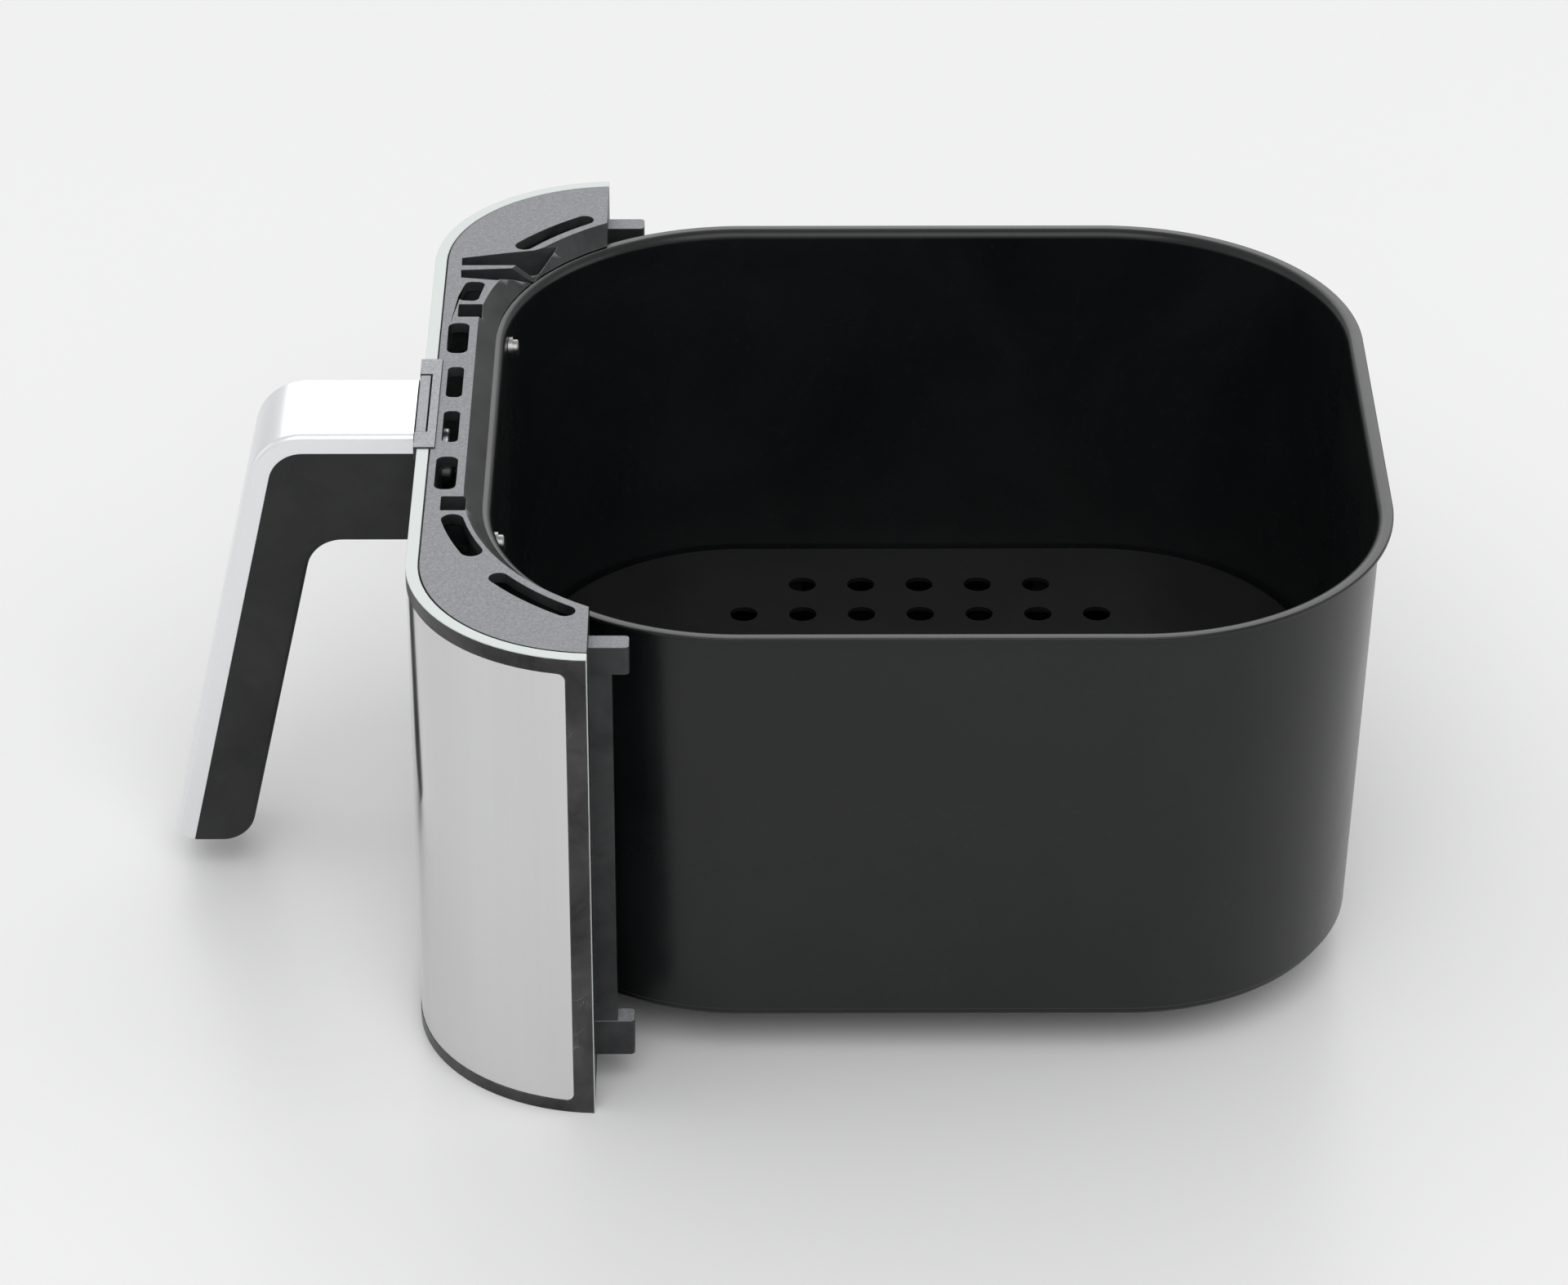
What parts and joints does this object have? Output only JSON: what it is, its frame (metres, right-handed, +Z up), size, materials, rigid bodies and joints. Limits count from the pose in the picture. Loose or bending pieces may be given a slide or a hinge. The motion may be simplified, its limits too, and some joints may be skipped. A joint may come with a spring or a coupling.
{
  "type": "air fryer drawer",
  "caption": "Air fryer drawer: deep rounded non-stick pan, steel-faced front panel with a hanging handle, and a lift-out crisper plate.",
  "frame": {"origin": "middle of the footprint's box, on the surface that the front panel stands on", "axes": "+Z up; the handle and front panel face -Y and the pan lies towards +Y; X runs across the drawer"},
  "size_m": [0.27, 0.33, 0.1395],
  "materials": {
    "nonstick_coat": "satin non-stick coating, charcoal",
    "nonstick_plate": "satin non-stick coating",
    "silicone": "matt",
    "grey_moulding": "matt, fine moulded grain",
    "pale_moulding": "matt",
    "black_trim": "matt with scuffs",
    "brushed_skin": "fine vertical brush",
    "dark_moulding": "matt",
    "spring_wire": "bright wire",
    "satin_aluminium": "satin",
    "grip_moulding": "soft matt",
    "zinc_steel": "zinc plated",
    "bright_steel": "bright"
  },
  "bodies": {
    "drawer": {"pan": "nonstick_coat", "inner_cover": "grey_moulding", "outer_shell": "pale_moulding", "trim_frame": "black_trim", "steel_plate": "brushed_skin", "joint_block": "dark_moulding", "tab_springs": "spring_wire", "handle_cap": "satin_aluminium", "handle_grip": "grip_moulding", "handle_core": "zinc_steel", "backing_plate": "zinc_steel", "handle_screws": "zinc_steel", "grip_screws": "zinc_steel", "cover_screws": "zinc_steel", "pan_screws": "bright_steel", "pan_washers": "bright_steel"},
    "crisper": {"crisper_plate": "nonstick_plate", "crisper_bumper_1": "silicone", "crisper_bumper_2": "silicone", "crisper_bumper_3": "silicone", "crisper_bumper_4": "silicone"},
    "tab": {"press_tab": "dark_moulding"}
  },
  "joints": [
    {"name": "crisper_lift", "type": "slide", "parent": "drawer", "child": "crisper", "axis": [0, 0, 1], "range_m": [0, 0.13]},
    {"name": "tab_press", "type": "slide", "parent": "drawer", "child": "tab", "axis": [0, 0, -1], "range_m": [0, 0.002], "stiffness_N_per_m": 600, "springref_m": -0.001, "deforming": ["tab_springs"]}
  ]
}
